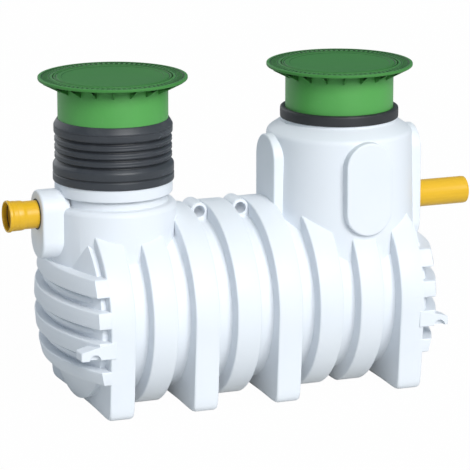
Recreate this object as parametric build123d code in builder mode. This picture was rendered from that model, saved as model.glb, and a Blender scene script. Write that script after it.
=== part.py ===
from build123d import *
import os

os.makedirs("parts", exist_ok=True)

# Driving dimensions in millimetres. X runs from inlet to outlet, Z is up from the ground.

# Barrel, a round shell with hoop ribs
wall = 8
rib_radius = 570
rib_depth = 82
ground_cut = 34
rib_count = 8
rib_pitch = 252.5
rib_width = 148
rib_edge_fillet = 10
footed_ribs = (1, 3, 5, 8)
foot_setback = 42
foot_corner_radius = 45

# Domed ends with level bands, their heights measured from the barrel's axis
dome_radius = 1210
dome_rise = 212
groove_depth = 60
groove_height = 78
groove_pitch = 173
groove_count = 3
first_groove_drop = 189
lowest_band_drop = 310
highest_band_rise = 294
tower_root_depth = 50

# Lashing lugs on the front and lifting eyes on top
lug_reach = 178
lug_depth = 95
lug_tip_height = 50
lug_notch_radius = 34
lug_notch_offset = 96
eye_hole_radius = 34
eye_drop = 36
eye_half_length = 85
eye_grooves = (3, 4)

# Telescopic shafts with their top frames and covers
shaft_radius = 315
shaft_wall = 8
shaft_length = 475
inlet_shaft_shown = 163
outlet_shaft_shown = 180
frame_overhang = 111
frame_edge_height = 18
frame_lip_width = 21
frame_lip_height = 3
frame_root_height = 30
gusset_count = 20
gusset_thickness = 6
gusset_setback = 14
gusset_depth = 46
gusset_edge = 5
cover_overlap = 22
cover_thickness = 20
cover_rim_width = 23
cover_groove_width = 4
cover_groove_depth = 2

# Inlet tower, its radii measured from the shaft and its heights from the inlet pipe's axis
inlet_offset = 743
inlet_pipe_rise = 11
inlet_tower_overlap = 45
inlet_tower_rise = 25
inlet_shoulder_rise = 23
inlet_shoulder_width = 20
inlet_throat_step = 8
inlet_neck_height = 52
inlet_collar_height = 119
collar_overlap = 22
boss_overhang = 103
boss_width = 240
boss_rise = 139
boss_drop = 257

# Outlet tower, its heights measured from the top of the barrel
outlet_offset = 651
outlet_taper_drop = 156
outlet_tower_overlap = 110
outlet_base_flare = 12
outlet_tower_rise = 369
outlet_shoulder_rise = 55
outlet_shoulder_step = 8
outlet_collar_height = 30
pad_overhang = 41
pad_width = 284
pad_drop = 176

# Pipes and their seals
pipe_radius = 80
pipe_wall = 4.7
pipe_fall = 76
inlet_pipe_shown = 180
outlet_pipe_shown = 343
pipe_inner_end = 40
pipe_root_thickness = 2
pipe_root_shown = 14
socket_depth = 98
socket_clearance = 0.6
bead_length = 55
bead_height = 6
seal_groove_start = 12
seal_groove_length = 24
pipe_seal_thickness = 6
pipe_seal_lip = 3
pipe_seal_lip_length = 4

# Corrugated riser sleeve on the inlet tower and its lip seal
riser_wall = 6
riser_foot_thickness = 9.2
riser_foot_overlap = 46
riser_foot_height = 103
riser_bore_gap = 2.2
riser_wave_depth = 11.5
riser_wave_pitch = 46.5
riser_wave_count = 3
riser_head_overlap = 25
riser_head_height = 207
riser_seal_height = 45
riser_seal_depth = 10
riser_seal_lip = 3

# Seal ring on the outlet tower
ring_seal_skirt = 10
ring_seal_height = 52
ring_seal_thickness = 9
ring_seal_chamfer = 10

# Clearances
fit_gap = 0.3
slide_gap = 0.3
cover_gap = 5

# Barrel sizes worked out from the above
axis_height = rib_radius - ground_cut
root_radius = rib_radius - rib_depth
barrel_top = axis_height + rib_radius
tower_start = axis_height + highest_band_rise - tower_root_depth
half_length = ((rib_count - 1) * rib_pitch + rib_width) / 2
groove_width = rib_pitch - rib_width

# Radii of the pieces that fit round the shafts
collar_radius = shaft_radius + collar_overlap
inlet_tower_radius = shaft_radius + inlet_tower_overlap
boss_reach = inlet_tower_radius + boss_overhang
outlet_tower_radius = shaft_radius + outlet_tower_overlap
pad_reach = outlet_tower_radius + pad_overhang
riser_head_radius = shaft_radius + riser_head_overlap
seal_bore = shaft_radius + slide_gap
frame_radius = shaft_radius + frame_overhang
cover_radius = shaft_radius + cover_overlap

# Heights of the stack over the inlet
inlet_pipe_height = barrel_top + inlet_pipe_rise
inlet_tower_top = inlet_pipe_height + inlet_tower_rise
inlet_shoulder_top = inlet_tower_top + inlet_shoulder_rise
inlet_collar_bottom = inlet_shoulder_top + inlet_neck_height
inlet_collar_top = inlet_collar_bottom + inlet_collar_height
riser_bottom = inlet_collar_top - riser_foot_overlap
riser_foot_top = riser_bottom + riser_foot_height
riser_head_top = riser_foot_top + riser_head_height
riser_seal_top = riser_head_top + riser_seal_height
inlet_cover_height = riser_seal_top + inlet_shaft_shown + gusset_depth + frame_root_height

# Heights of the stack over the outlet
outlet_pipe_height = inlet_pipe_height - pipe_fall
outlet_shoulder_bottom = barrel_top + outlet_tower_rise
outlet_shoulder_top = outlet_shoulder_bottom + outlet_shoulder_rise
outlet_collar_top = outlet_shoulder_top + outlet_collar_height
ring_seal_top = outlet_collar_top + ring_seal_height
outlet_cover_height = ring_seal_top + outlet_shaft_shown + gusset_depth + frame_root_height

# Places along the tank, with the pipes' outer ends at equal distances from the origin
inlet_end_reach = inlet_offset + boss_reach + inlet_pipe_shown
outlet_end_reach = outlet_offset + pad_reach + outlet_pipe_shown
tank_x = (inlet_end_reach - outlet_end_reach) / 2
inlet_x = tank_x - inlet_offset
outlet_x = tank_x + outlet_offset
mouth_x = tank_x - inlet_end_reach
outlet_end_x = tank_x + outlet_end_reach
boss_face = inlet_x - boss_reach
pad_face = outlet_x + pad_reach
barrel_start = tank_x - half_length
barrel_end = tank_x + half_length
sketch_size = 3 * rib_radius


def rib_face(number):
    """Position of a rib's inlet-side face."""
    return barrel_start + (number - 1) * rib_pitch


def turned(points, x):
    """Solid of revolution about the upright axis at x, from radius and height points."""
    with BuildPart() as shape:
        with BuildSketch(Plane(origin=(x, 0, 0), x_dir=(1, 0, 0), z_dir=(0, -1, 0))):
            with BuildLine():
                Polyline(points, close=True)
            make_face()
        revolve(axis=Axis((x, 0, 0), (0, 0, 1)))
    return shape.part


def level_cylinder(radius, height, start, end):
    """Solid cylinder along the tank between two positions."""
    with BuildPart() as shape:
        with BuildSketch(Plane.YZ.offset(start)):
            with Locations((0, height)):
                Circle(radius)
        extrude(amount=end - start)
    return shape.part


def hoop_outline(inset, footed):
    """Outline of a rib seen along the tank, cut flat at the ground."""
    with BuildSketch() as outline:
        with Locations((0, axis_height)):
            Circle(rib_radius - inset)
        if footed:
            corner_y = rib_radius - foot_setback - foot_corner_radius
            with Locations((-corner_y, foot_corner_radius), (corner_y, foot_corner_radius)):
                Circle(foot_corner_radius - inset)
            make_hull()
        with Locations((0, inset)):
            Rectangle(sketch_size, sketch_size, align=(Align.CENTER, Align.MIN), mode=Mode.INTERSECT)
    return outline.sketch


def rib_block(number, inset):
    """Solid rib, with rounded edges on the outside of the moulding."""
    with BuildPart() as shape:
        with BuildSketch(Plane.YZ.offset(rib_face(number) + inset)):
            add(hoop_outline(inset, number in footed_ribs))
        extrude(amount=rib_width - 2 * inset)
        if inset == 0:
            sides = shape.edges().group_by(Axis.X)
            fillet(sides[0] + sides[-1], rib_edge_fillet)
    return shape.part


def dome_part(outline, inset):
    """Outline carried out from the last rib and closed by the dome."""
    with BuildPart() as shape:
        with BuildSketch(Plane.YZ.offset(barrel_end)):
            add(outline)
        extrude(amount=dome_rise)
        with Locations((barrel_end + dome_rise - dome_radius, 0, axis_height)):
            Sphere(dome_radius - inset, rotation=(0, 0, 180), mode=Mode.INTERSECT)
    return shape.part


def band_edges(number):
    """Bottom and top height of a level band, counted from the lowest."""
    groove_middle = axis_height - first_groove_drop + (number - 1) * groove_pitch
    bottom = groove_middle + groove_height / 2
    top = groove_middle + groove_pitch - groove_height / 2
    if number == 0:
        bottom = axis_height - lowest_band_drop
    if number == groove_count:
        top = axis_height + highest_band_rise
    return bottom, top


def end_shape(inset):
    """Solid end of the tank on the outlet side: a core dome with level bands around it."""
    core_inset = groove_depth + inset
    with BuildSketch() as core_outline:
        with Locations((0, axis_height)):
            Circle(rib_radius - core_inset)
    pieces = [dome_part(core_outline.sketch, core_inset)]
    for number in range(groove_count + 1):
        bottom, top = band_edges(number)
        with BuildSketch() as band_outline:
            add(hoop_outline(inset, True))
            with Locations((0, (bottom + top) / 2)):
                Rectangle(sketch_size, top - bottom - 2 * inset, mode=Mode.INTERSECT)
        pieces.append(dome_part(band_outline.sketch, inset))
    with BuildPart() as shape:
        for piece in pieces:
            add(piece)
    return shape.part


def inlet_tower_shape(inset):
    """Solid inlet tower with its throat and collar."""
    body_radius = inlet_tower_radius - inset
    throat_radius = shaft_radius - inlet_throat_step - inset
    points = [
        (0, tower_start),
        (body_radius, tower_start),
        (body_radius, inlet_tower_top - inset / 2),
        (body_radius - inlet_shoulder_width + inset / 2, inlet_shoulder_top - inset),
        (throat_radius, inlet_shoulder_top - inset),
        (throat_radius, inlet_collar_bottom + inset),
        (collar_radius - inset, inlet_collar_bottom + inset),
        (collar_radius - inset, inlet_collar_top),
        (0, inlet_collar_top),
    ]
    return turned(points, inlet_x)


def boss_shape(inset):
    """Solid inlet boss, an upright oval that runs back into the inlet tower."""
    with BuildPart() as shape:
        with BuildSketch(Plane.YZ.offset(boss_face + inset)):
            with Locations((0, inlet_pipe_height + (boss_rise - boss_drop) / 2)):
                SlotOverall(boss_rise + boss_drop - 2 * inset, boss_width - 2 * inset, rotation=90)
        extrude(amount=boss_reach - inset)
    return shape.part


def outlet_tower_shape(inset):
    """Solid outlet tower with four flat oval pads around it."""
    top_radius = outlet_tower_radius - inset
    points = [
        (0, tower_start),
        (top_radius + outlet_base_flare, tower_start),
        (top_radius + outlet_base_flare, barrel_top - outlet_taper_drop),
        (top_radius, outlet_shoulder_bottom - inset / 2),
        (collar_radius + outlet_shoulder_step - inset, outlet_shoulder_top - inset),
        (collar_radius - inset, outlet_shoulder_top - inset),
        (collar_radius - inset, outlet_collar_top),
        (0, outlet_collar_top),
    ]
    turned_body = turned(points, outlet_x)
    with BuildPart() as shape:
        add(turned_body)
        for plane, bottom in ((Plane.YZ, tower_start), (Plane.XZ, barrel_top - pad_drop)):
            with BuildSketch(Plane(origin=(outlet_x, 0, 0), x_dir=plane.x_dir, z_dir=plane.z_dir)):
                with Locations((0, (bottom + outlet_shoulder_bottom) / 2)):
                    SlotOverall(outlet_shoulder_bottom - bottom - 2 * inset, pad_width - 2 * inset,
                                rotation=90)
            extrude(amount=pad_reach - inset, both=True)
    return shape.part


def riser_outline(foot_radius, inset):
    """Upright outline of the corrugated riser sleeve, outside or inside, closed at its axis."""
    valley_radius = seal_bore + riser_bore_gap + riser_wall - inset
    crest_radius = valley_radius + riser_wave_depth
    points = [(0, riser_bottom), (foot_radius, riser_bottom), (foot_radius, riser_foot_top)]
    for wave in range(riser_wave_count + 1):
        low = riser_foot_top + wave * riser_wave_pitch
        for radius, place in ((valley_radius, 2), (crest_radius, 6)):
            if radius == valley_radius or wave < riser_wave_count:
                points.append((radius, low + (place - 1) * riser_wave_pitch / 8))
                points.append((radius, low + (place + 1) * riser_wave_pitch / 8))
    head_start = low + riser_wave_pitch * 5 / 8
    points += [
        (riser_head_radius - inset, head_start),
        (riser_head_radius - inset, riser_head_top),
        (0, riser_head_top),
    ]
    return points


# Solid forms that the shells are cut from
ribs_outer = [rib_block(number, 0) for number in range(1, rib_count + 1)]
ribs_inner = [rib_block(number, wall) for number in range(1, rib_count + 1)]
core_outer = level_cylinder(root_radius, axis_height, barrel_start, barrel_end)
core_inner = level_cylinder(root_radius - wall, axis_height, barrel_start, barrel_end)
outlet_end_outer = end_shape(0)
outlet_end_inner = end_shape(wall)
inlet_end_outer = outlet_end_outer.mirror(Plane.YZ.offset(tank_x))
inlet_end_inner = outlet_end_inner.mirror(Plane.YZ.offset(tank_x))
inlet_tower_outer = inlet_tower_shape(0)
inlet_tower_inner = inlet_tower_shape(wall)
outlet_tower_outer = outlet_tower_shape(0)
outlet_tower_inner = outlet_tower_shape(wall)
boss_outer = boss_shape(0)
boss_inner = boss_shape(wall)
seal_hole_radius = pipe_radius + pipe_seal_thickness
inlet_hole = level_cylinder(seal_hole_radius, inlet_pipe_height, boss_face, inlet_x)
outlet_hole = level_cylinder(seal_hole_radius, outlet_pipe_height, outlet_x, pad_face)

# Hollow hoop ribs of the barrel
for number in range(1, rib_count + 1):
    with BuildPart() as rib:
        add(ribs_outer[number - 1])
        add(ribs_inner[number - 1], mode=Mode.SUBTRACT)
        add(core_inner, mode=Mode.SUBTRACT)
        add(inlet_tower_inner, mode=Mode.SUBTRACT)
        add(outlet_tower_inner, mode=Mode.SUBTRACT)
    rib.part.label = f"barrel_rib_{number}"
    export_step(rib.part, f"parts/barrel_rib_{number}.step")

# Rings of the barrel's wall between the ribs
for number in range(1, rib_count):
    ring_start = rib_face(number) + rib_width
    with BuildPart() as ring:
        add(level_cylinder(root_radius, axis_height, ring_start, ring_start + groove_width))
        add(core_inner, mode=Mode.SUBTRACT)
        add(inlet_tower_inner, mode=Mode.SUBTRACT)
        add(outlet_tower_inner, mode=Mode.SUBTRACT)
    ring.part.label = f"barrel_ring_{number}"
    export_step(ring.part, f"parts/barrel_ring_{number}.step")

# Domed ends
with BuildPart() as inlet_end:
    add(inlet_end_outer)
    add(inlet_end_inner, mode=Mode.SUBTRACT)
    add(inlet_tower_inner, mode=Mode.SUBTRACT)
    add(boss_inner, mode=Mode.SUBTRACT)
inlet_end.part.label = "inlet_end"
export_step(inlet_end.part, "parts/inlet_end.step")

with BuildPart() as outlet_end:
    add(outlet_end_outer)
    add(outlet_end_inner, mode=Mode.SUBTRACT)
    add(outlet_tower_inner, mode=Mode.SUBTRACT)
outlet_end.part.label = "outlet_end"
export_step(outlet_end.part, "parts/outlet_end.step")

# Towers and the inlet boss, cut to the barrel that they stand on
with BuildPart() as inlet_tower:
    add(inlet_tower_outer)
    add(inlet_tower_inner, mode=Mode.SUBTRACT)
    add(boss_inner, mode=Mode.SUBTRACT)
    add(inlet_end_outer, mode=Mode.SUBTRACT)
    add(core_outer, mode=Mode.SUBTRACT)
    for rib_outer in ribs_outer[:rib_count // 2]:
        add(rib_outer, mode=Mode.SUBTRACT)
    split(bisect_by=Plane.XY.offset(inlet_shoulder_top), keep=Keep.BOTTOM)
inlet_tower.part.label = "inlet_tower"
export_step(inlet_tower.part, "parts/inlet_tower.step")

with BuildPart() as inlet_neck:
    add(inlet_tower_outer)
    add(inlet_tower_inner, mode=Mode.SUBTRACT)
    split(bisect_by=Plane.XY.offset(inlet_shoulder_top), keep=Keep.TOP)
    split(bisect_by=Plane.XY.offset(inlet_collar_bottom), keep=Keep.BOTTOM)
inlet_neck.part.label = "inlet_neck"
export_step(inlet_neck.part, "parts/inlet_neck.step")

with BuildPart() as inlet_collar:
    add(inlet_tower_outer)
    add(inlet_tower_inner, mode=Mode.SUBTRACT)
    split(bisect_by=Plane.XY.offset(inlet_collar_bottom), keep=Keep.TOP)
inlet_collar.part.label = "inlet_collar"
export_step(inlet_collar.part, "parts/inlet_collar.step")

with BuildPart() as inlet_boss:
    add(boss_outer)
    add(boss_inner, mode=Mode.SUBTRACT)
    add(inlet_hole, mode=Mode.SUBTRACT)
    add(inlet_tower_outer, mode=Mode.SUBTRACT)
    add(inlet_end_outer, mode=Mode.SUBTRACT)
    add(core_outer, mode=Mode.SUBTRACT)
    for rib_outer in ribs_outer[:rib_count // 2]:
        add(rib_outer, mode=Mode.SUBTRACT)
inlet_boss.part.label = "inlet_boss"
export_step(inlet_boss.part, "parts/inlet_boss.step")

with BuildPart() as outlet_tower:
    add(outlet_tower_outer)
    add(outlet_tower_inner, mode=Mode.SUBTRACT)
    add(outlet_hole, mode=Mode.SUBTRACT)
    add(outlet_end_outer, mode=Mode.SUBTRACT)
    add(core_outer, mode=Mode.SUBTRACT)
    for rib_outer in ribs_outer[rib_count // 2:]:
        add(rib_outer, mode=Mode.SUBTRACT)
outlet_tower.part.label = "outlet_tower"
export_step(outlet_tower.part, "parts/outlet_tower.step")

# Lashing lugs, one at each end of the front
lug_bottom, lug_top = band_edges(1)
for name, face, outward, end_solid in (
    ("inlet", barrel_start, -1, inlet_end_outer),
    ("outlet", barrel_end, 1, outlet_end_outer),
):
    with BuildPart() as lug:
        with BuildSketch(Plane.XZ.offset(rib_radius)):
            with BuildLine():
                Polyline(
                    (face, lug_bottom),
                    (face + outward * lug_reach, lug_bottom),
                    (face + outward * lug_reach, lug_bottom + lug_tip_height),
                    (face, lug_top),
                    close=True,
                )
            make_face()
            with Locations((face + outward * lug_notch_offset, lug_bottom)):
                Circle(lug_notch_radius, mode=Mode.SUBTRACT)
        extrude(amount=-lug_depth)
        add(end_solid, mode=Mode.SUBTRACT)
    lug.part.label = f"{name}_lug"
    export_step(lug.part, f"parts/{name}_lug.step")

# Lifting eyes that bridge the grooves on top of the barrel
eye_height = barrel_top - eye_drop
for eye_number, groove in enumerate(eye_grooves, start=1):
    eye_x = rib_face(groove) + rib_width + groove_width / 2
    with BuildPart() as eye:
        with BuildSketch(Plane.XZ.offset(-eye_half_length)):
            with Locations((eye_x, eye_height)):
                Circle(groove_width / 2)
                Rectangle(groove_width, eye_height - axis_height, align=(Align.CENTER, Align.MAX))
                Circle(eye_hole_radius, mode=Mode.SUBTRACT)
        extrude(amount=2 * eye_half_length)
        add(core_outer, mode=Mode.SUBTRACT)
        add(ribs_outer[groove - 1], mode=Mode.SUBTRACT)
        add(ribs_outer[groove], mode=Mode.SUBTRACT)
    eye.part.label = f"lifting_eye_{eye_number}"
    export_step(eye.part, f"parts/lifting_eye_{eye_number}.step")

# Inlet pipe with a socket mouth, and the seal held in its bead
socket_radius = pipe_radius + socket_clearance
socket_outer_radius = socket_radius + pipe_wall
inlet_pipe_end = inlet_x - inlet_tower_radius + pipe_inner_end
seal_groove_x = mouth_x + seal_groove_start
with BuildPart() as inlet_pipe:
    add(level_cylinder(pipe_radius, inlet_pipe_height, mouth_x, inlet_pipe_end))
    add(level_cylinder(socket_outer_radius, inlet_pipe_height, mouth_x, mouth_x + socket_depth))
    add(level_cylinder(socket_outer_radius + bead_height, inlet_pipe_height, mouth_x, mouth_x + bead_length))
    add(level_cylinder(pipe_radius - pipe_wall, inlet_pipe_height, mouth_x, inlet_pipe_end), mode=Mode.SUBTRACT)
    add(level_cylinder(socket_radius, inlet_pipe_height, mouth_x, mouth_x + socket_depth - pipe_wall),
        mode=Mode.SUBTRACT)
    add(level_cylinder(socket_outer_radius, inlet_pipe_height, seal_groove_x,
                       seal_groove_x + seal_groove_length), mode=Mode.SUBTRACT)
inlet_pipe.part.label = "inlet_pipe"
export_step(inlet_pipe.part, "parts/inlet_pipe.step")

with BuildPart() as socket_seal:
    add(level_cylinder(socket_outer_radius - fit_gap, inlet_pipe_height, seal_groove_x + fit_gap,
                       seal_groove_x + seal_groove_length - fit_gap))
    add(level_cylinder(socket_radius, inlet_pipe_height, seal_groove_x,
                       seal_groove_x + seal_groove_length), mode=Mode.SUBTRACT)
socket_seal.part.label = "socket_seal"
export_step(socket_seal.part, "parts/socket_seal.step")

# Outlet pipe, a plain spigot with a thicker root in its seal
pipe_root_radius = pipe_radius + pipe_root_thickness
outlet_pipe_start = outlet_x + outlet_tower_radius - pipe_inner_end
with BuildPart() as outlet_pipe:
    add(level_cylinder(pipe_radius, outlet_pipe_height, outlet_pipe_start, outlet_end_x))
    add(level_cylinder(pipe_root_radius, outlet_pipe_height, outlet_pipe_start, pad_face + pipe_root_shown))
    add(level_cylinder(pipe_radius - pipe_wall, outlet_pipe_height, outlet_pipe_start, outlet_end_x),
        mode=Mode.SUBTRACT)
outlet_pipe.part.label = "outlet_pipe"
export_step(outlet_pipe.part, "parts/outlet_pipe.step")

# Rubber seals where the pipes pass through the moulding
for name, face, outward, height, radius in (
    ("inlet", boss_face, -1, inlet_pipe_height, pipe_radius),
    ("outlet", pad_face, 1, outlet_pipe_height, pipe_root_radius),
):
    body_start, body_end = sorted((face - outward * wall, face + outward * fit_gap))
    lip_start, lip_end = sorted((face + outward * fit_gap, face + outward * pipe_seal_lip_length))
    with BuildPart() as pipe_seal:
        add(level_cylinder(seal_hole_radius - fit_gap, height, body_start, body_end))
        add(level_cylinder(seal_hole_radius + pipe_seal_lip, height, lip_start, lip_end))
        add(level_cylinder(radius + fit_gap, height, min(body_start, lip_start), max(body_end, lip_end)),
            mode=Mode.SUBTRACT)
    pipe_seal.part.label = f"{name}_seal"
    export_step(pipe_seal.part, f"parts/{name}_seal.step")

# Corrugated riser sleeve pushed over the inlet tower's collar
riser_foot_bore = collar_radius + fit_gap
riser_outer = turned(riser_outline(riser_foot_bore + riser_foot_thickness, 0), inlet_x)
riser_inner = turned(riser_outline(riser_foot_bore, riser_wall), inlet_x)
with BuildPart() as riser_sleeve:
    add(riser_outer)
    add(riser_inner, mode=Mode.SUBTRACT)
riser_sleeve.part.label = "riser_sleeve"
export_step(riser_sleeve.part, "parts/riser_sleeve.step")

# Lip seal in the head of the riser
riser_seal_part = turned(
    [
        (seal_bore, riser_head_top - riser_seal_depth),
        (riser_head_radius - riser_wall - fit_gap, riser_head_top - riser_seal_depth),
        (riser_head_radius - riser_wall - fit_gap, riser_head_top + fit_gap),
        (riser_head_radius, riser_head_top + fit_gap),
        (seal_bore + riser_seal_lip, riser_seal_top),
        (seal_bore, riser_seal_top),
    ],
    inlet_x,
)
with BuildPart() as riser_seal:
    add(riser_seal_part)
riser_seal.part.label = "riser_seal"
export_step(riser_seal.part, "parts/riser_seal.step")

# Ring seal over the outlet tower's collar
ring_seal_radius = collar_radius + ring_seal_thickness
ring_seal_part = turned(
    [
        (collar_radius + fit_gap, outlet_collar_top - ring_seal_skirt),
        (ring_seal_radius, outlet_collar_top - ring_seal_skirt),
        (ring_seal_radius, ring_seal_top - ring_seal_chamfer),
        (ring_seal_radius - ring_seal_chamfer, ring_seal_top),
        (seal_bore, ring_seal_top),
        (seal_bore, outlet_collar_top + fit_gap),
        (collar_radius + fit_gap, outlet_collar_top + fit_gap),
    ],
    outlet_x,
)
with BuildPart() as ring_seal:
    add(ring_seal_part)
ring_seal.part.label = "ring_seal"
export_step(ring_seal.part, "parts/ring_seal.step")

# One gusset of a top frame, standing at the origin with the shaft's top at height zero
gusset_outer_radius = frame_radius - gusset_setback
with BuildPart() as gusset:
    with BuildSketch(Plane.XZ):
        with BuildLine():
            Polyline(
                (shaft_radius + fit_gap, gusset_edge),
                (gusset_outer_radius, frame_root_height - frame_edge_height),
                (gusset_outer_radius, gusset_edge),
                (shaft_radius + fit_gap, -gusset_depth),
                close=True,
            )
        make_face()
    extrude(amount=gusset_thickness / 2, both=True)

# Telescopic shafts, their top frames with gussets, and the covers
shaft_bore = shaft_radius - shaft_wall
seat_radius = cover_radius + cover_gap
field_radius = cover_radius - cover_rim_width
for name, x, top in (("inlet", inlet_x, inlet_cover_height), ("outlet", outlet_x, outlet_cover_height)):
    shaft_top = top - frame_root_height
    shaft_part = turned(
        [
            (shaft_bore, shaft_top - shaft_length),
            (shaft_radius, shaft_top - shaft_length),
            (shaft_radius, shaft_top),
            (shaft_bore, shaft_top),
        ],
        x,
    )
    with BuildPart() as shaft:
        add(shaft_part)
    shaft.part.label = f"{name}_shaft"
    export_step(shaft.part, f"parts/{name}_shaft.step")

    seat_height = top - cover_thickness - fit_gap
    land_height = top - frame_lip_height
    ring_part = turned(
        [
            (shaft_bore, shaft_top),
            (shaft_radius + shaft_wall, shaft_top),
            (frame_radius, top - frame_edge_height),
            (frame_radius, top),
            (frame_radius - frame_lip_width, top),
            (frame_radius - frame_lip_width, land_height),
            (seat_radius, land_height),
            (seat_radius, seat_height),
            (shaft_bore, seat_height),
        ],
        x,
    )
    with BuildPart() as frame:
        add(ring_part)
        with Locations((x, 0, shaft_top)):
            with PolarLocations(0, gusset_count):
                add(gusset.part)
    frame.part.label = f"{name}_frame"
    export_step(frame.part, f"parts/{name}_frame.step")

    cover_part = turned(
        [
            (0, top - cover_thickness),
            (cover_radius, top - cover_thickness),
            (cover_radius, top),
            (field_radius + cover_groove_width, top),
            (field_radius + cover_groove_width, top - cover_groove_depth),
            (field_radius, top - cover_groove_depth),
            (field_radius, top),
            (0, top),
        ],
        x,
    )
    with BuildPart() as cover:
        add(cover_part)
    cover.part.label = f"{name}_cover"
    export_step(cover.part, f"parts/{name}_cover.step")
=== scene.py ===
import math

import bpy
import numpy as np
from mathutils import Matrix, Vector


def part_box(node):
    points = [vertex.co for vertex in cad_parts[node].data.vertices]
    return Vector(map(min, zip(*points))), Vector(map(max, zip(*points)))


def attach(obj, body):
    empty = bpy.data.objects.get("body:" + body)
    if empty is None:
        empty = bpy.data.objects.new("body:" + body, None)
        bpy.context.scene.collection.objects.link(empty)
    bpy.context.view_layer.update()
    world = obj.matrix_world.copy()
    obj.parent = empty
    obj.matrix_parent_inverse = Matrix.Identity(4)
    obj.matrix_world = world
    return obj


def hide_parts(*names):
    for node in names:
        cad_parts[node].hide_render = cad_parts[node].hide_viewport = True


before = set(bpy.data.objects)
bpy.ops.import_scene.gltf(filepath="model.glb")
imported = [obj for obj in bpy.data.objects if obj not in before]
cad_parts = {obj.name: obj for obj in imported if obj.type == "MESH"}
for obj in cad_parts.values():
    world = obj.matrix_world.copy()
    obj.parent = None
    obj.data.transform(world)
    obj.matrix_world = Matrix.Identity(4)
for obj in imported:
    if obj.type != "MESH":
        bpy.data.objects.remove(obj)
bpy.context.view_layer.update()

# Places read from the frame, in metres
inlet_low, inlet_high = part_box("inlet_shaft")
outlet_low, outlet_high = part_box("outlet_shaft")
first_rib_low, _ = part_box("barrel_rib_1")
_, last_rib_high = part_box("barrel_rib_8")
INLET_X = (inlet_low.x + inlet_high.x) / 2
OUTLET_X = (outlet_low.x + outlet_high.x) / 2
TANK_X = (first_rib_low.x + last_rib_high.x) / 2
HALF_LENGTH = (last_rib_high.x - first_rib_low.x) / 2

# Barrel, ribs and feet
AXIS_HEIGHT = 0.536
RIB_RADIUS = 0.570
ROOT_RADIUS = 0.488
RIB_COUNT = 8
RIB_PITCH = 0.2525
RIB_WIDTH = 0.148
CREST_FILLET = 0.010
ROOT_FILLET = 0.006
FOOT_ROUNDING = 0.022
FOOTED_RIBS = (1, 3, 5, 8)
FOOT_LEAN = math.atan2(0.042, AXIS_HEIGHT)
FOOT_SHARPNESS = 26
FLAT_SHARPNESS = 90

# Domed ends
DOME_RADIUS = 1.210
DOME_RISE = 0.212
GROOVE_DEPTH = 0.060
BANDS = ((0.226, 0.308), (0.386, 0.481), (0.559, 0.654), (0.732, 0.830))
BAND_FILLET = 0.009
LEDGE_DEPTH, LEDGE_SETBACK, LEDGE_FADE = 0.036, 0.045, 0.045
LEDGE_ABOVE, LEDGE_BELOW = 0.024, 0.022

# Towers as (radius, height, softness) corners, and the ways through their collars
WALL = 0.008
TOWER_START = 0.700
NECK_RADIUS, COLLAR_RADIUS = 0.307, 0.337
INLET_TOP, OUTLET_TOP = 1.336, 1.560
INLET_TOWER = (
    (0.360, 1.142, 0.012), (0.340, 1.165, 0.010), (NECK_RADIUS, 1.165, 0.010),
    (NECK_RADIUS, 1.217, 0.010), (COLLAR_RADIUS, 1.217, 0.010), (COLLAR_RADIUS, INLET_TOP, 0.003),
)
OUTLET_TOWER = (
    (0.437, 0.950, 0.060), (0.425, 1.475, 0.022), (0.345, 1.530, 0.012),
    (COLLAR_RADIUS, 1.533, 0.002), (COLLAR_RADIUS, OUTLET_TOP, 0.003),
)
WAYS = ((INLET_X, 1.230, INLET_TOP), (OUTLET_X, TOWER_START + 0.1, OUTLET_TOP))

# Boss, pads, eyes and lugs
BOSS_REACH, BOSS_WIDTH, BOSS_BOTTOM, BOSS_TOP = 0.463, 0.240, 0.860, 1.256
PAD_REACH, PAD_WIDTH, PAD_BOTTOM, PAD_TOP = 0.466, 0.284, 0.930, 1.475
PAD_FILLET = 0.009
BOSS_FILLET = 0.014
EYE_HEIGHT, EYE_HOLE, EYE_HALF_LENGTH = 1.070, 0.034, 0.085
EYE_GROOVES = (3, 4)
LUG_REACH = {-1: 0.178, 1: 0.150}
LUG_DEPTH, LUG_TIP, NOTCH_RADIUS, NOTCH_OFFSET = 0.095, 0.050, 0.034, 0.096

# Pipes
PIPE_RADIUS = 0.080
PIPE_WALL = 0.0047
SEAL_HOLE = 0.086
PIPE_ROOT = 0.082
INLET_PIPE_HEIGHT = 1.117
OUTLET_PIPE_HEIGHT = 1.041

# Riser's wave and the groove in its foot
WAVE_BOTTOM, WAVE_TOP = 1.400, 1.562
WAVE_START, WAVE_PITCH = 1.411, 0.0465
WAVE_MIDDLE, WAVE_SWING, WAVE_SHARPNESS = 0.3312, 0.0055, 0.0030
WAVE_INSIDE = 0.3240
# Painted shade on the riser: radius of the wave's valleys, height of the foot's groove, and the width
# over which each fades
VALLEY_RADIUS, FOOT_GROOVE_HEIGHT, LINE_FADE = 0.3235, 1.338, 0.006

# Shafts, top frames and covers, in heights below the cover's top
SHAFT_RADIUS, SHAFT_WALL = 0.315, 0.008
FRAME_RADIUS, FRAME_EDGE, FRAME_ROOT = 0.426, 0.018, 0.030
LIP_RADIUS = 0.405
SEAT_RADIUS, COVER_RADIUS, COVER_THICKNESS = 0.342, 0.337, 0.020
SLOT_COUNT, SLOT_INNER, SLOT_OUTER, SLOT_DEPTH = 80, 0.366, 0.400, 0.008
SLOT_STEPS, LAND_STEP, LAND_DROP = 10, 0.002, 0.003
GUSSET_COUNT, GUSSET_THICKNESS, GUSSET_REACH, GUSSET_DEPTH = 20, 0.006, 0.412, 0.046

# Camera at the photograph's angle, in degrees, metres and millimetres
TURN, RISE, DISTANCE, AIM_HEIGHT, LENS = 21.10, 13.82, 18.829, 0.888, 247.97

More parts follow.
